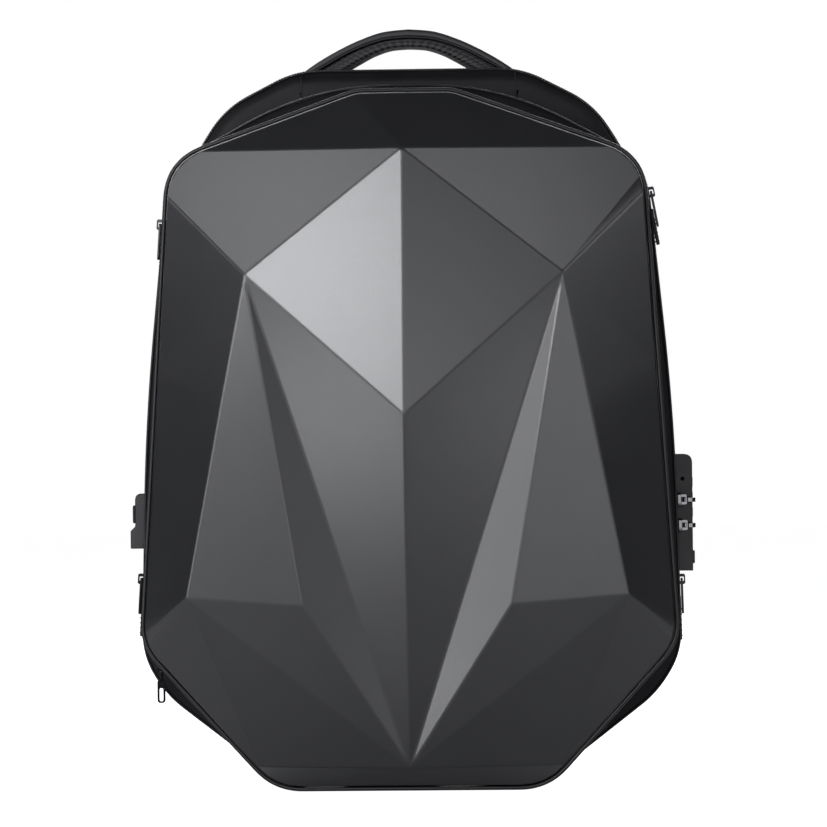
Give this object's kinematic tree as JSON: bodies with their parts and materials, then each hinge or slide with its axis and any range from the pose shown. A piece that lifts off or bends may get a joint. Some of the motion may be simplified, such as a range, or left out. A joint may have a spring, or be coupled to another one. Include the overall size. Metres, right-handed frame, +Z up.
{
  "type": "hard shell backpack",
  "caption": "Backpack with a faceted hard front shell on a soft body, carry handle, zips with hanging pulls, side combination lock and charging socket, padded back and straps.",
  "frame": {"origin": "middle of the flat base, on the floor the bag stands on", "axes": "+Z up, +Y from the front shell to the back panel and straps, +X to the side with the lock"},
  "size_m": [0.3782, 0.2352, 0.5093],
  "materials": {
    "shell": "satin charcoal, fine pebble grain",
    "piping": "smooth satin",
    "fabric": "coated black weave",
    "air_mesh": "open spacer mesh",
    "leather": "smooth matt",
    "zip_tape": "woven tape",
    "webbing": "ribbed weave",
    "zip_metal": "polished black nickel",
    "rubber": "matt ribbed",
    "lock_plastic": "satin black",
    "dial_plastic": "satin, engraved plain numbers",
    "socket_plastic": "satin black",
    "buckle_plastic": "moulded black"
  },
  "bodies": {
    "root": {"front_shell": "shell", "rim_piping": "piping", "front_gusset": "fabric", "main_body": "fabric", "rear_body": "fabric", "back_panel": "fabric", "back_pad_right": "air_mesh", "back_pad_left": "air_mesh", "lumbar_pad": "air_mesh", "handle_cover": "leather", "handle_pad": "air_mesh", "front_zip": "zip_tape", "main_zip": "zip_tape", "rear_zip": "zip_tape", "pocket_zip": "zip_tape", "pocket_slider": "zip_metal", "lock_housing": "lock_plastic", "docked_upper_slider": "zip_metal", "docked_upper_pull": "zip_metal", "docked_lower_slider": "zip_metal", "docked_lower_pull": "zip_metal", "socket_housing": "socket_plastic", "socket_flap": "rubber", "left_upper_slider": "zip_metal", "left_lower_slider": "zip_metal", "shoulder_strap_left": "air_mesh", "ladder_lock_left": "buckle_plastic", "lower_webbing_left": "webbing", "right_upper_slider": "zip_metal", "right_lower_slider": "zip_metal", "shoulder_strap_right": "air_mesh", "ladder_lock_right": "buckle_plastic", "lower_webbing_right": "webbing"},
    "left_upper_pull": {"left_upper_pull": "zip_metal", "left_upper_tail": "rubber"},
    "right_upper_pull": {"right_upper_pull": "zip_metal", "right_upper_tail": "rubber"},
    "left_lower_pull": {"left_lower_pull": "zip_metal", "left_lower_tail": "rubber"},
    "right_lower_pull": {"right_lower_pull": "zip_metal", "right_lower_tail": "rubber"},
    "pocket_pull": {"pocket_pull": "zip_metal"},
    "lock_dial_1": {"lock_dial_1": "dial_plastic"},
    "lock_dial_2": {"lock_dial_2": "dial_plastic"},
    "lock_dial_3": {"lock_dial_3": "dial_plastic"},
    "lock_button": {"lock_button": "dial_plastic"}
  },
  "joints": [
    {"name": "left_upper_pull_swing", "type": "hinge", "parent": "root", "child": "left_upper_pull", "pos_m": [-0.16269, -0.0445, 0.37438], "axis": [0, 1, 0], "range_deg": [0, 170]},
    {"name": "right_upper_pull_swing", "type": "hinge", "parent": "root", "child": "right_upper_pull", "pos_m": [0.16151, -0.0445, 0.39206], "axis": [0, -1, 0], "range_deg": [0, 170]},
    {"name": "left_lower_pull_swing", "type": "hinge", "parent": "root", "child": "left_lower_pull", "pos_m": [-0.17753, -0.0445, 0.14033], "axis": [0, 1, 0], "range_deg": [0, 170]},
    {"name": "right_lower_pull_swing", "type": "hinge", "parent": "root", "child": "right_lower_pull", "pos_m": [0.1813, 0.026, 0.13415], "axis": [0, -1, 0], "range_deg": [0, 170]},
    {"name": "pocket_pull_swing", "type": "hinge", "parent": "root", "child": "pocket_pull", "pos_m": [-0.16521, -0.0445, 0.0793], "axis": [0, 1, 0], "range_deg": [-20, 120]},
    {"name": "lock_dial_1_turn", "type": "hinge", "parent": "root", "child": "lock_dial_1", "pos_m": [0.18338, 0.0051, 0.2], "axis": [0, 0, 1], "continuous": true},
    {"name": "lock_dial_2_turn", "type": "hinge", "parent": "root", "child": "lock_dial_2", "pos_m": [0.18338, 0.0051, 0.19], "axis": [0, 0, 1], "continuous": true},
    {"name": "lock_dial_3_turn", "type": "hinge", "parent": "root", "child": "lock_dial_3", "pos_m": [0.18338, 0.0051, 0.18], "axis": [0, 0, 1], "continuous": true},
    {"name": "lock_button_press", "type": "slide", "parent": "root", "child": "lock_button", "axis": [-1, 0, 0], "range_m": [0, 0.0012], "stiffness_N_per_m": 300}
  ]
}
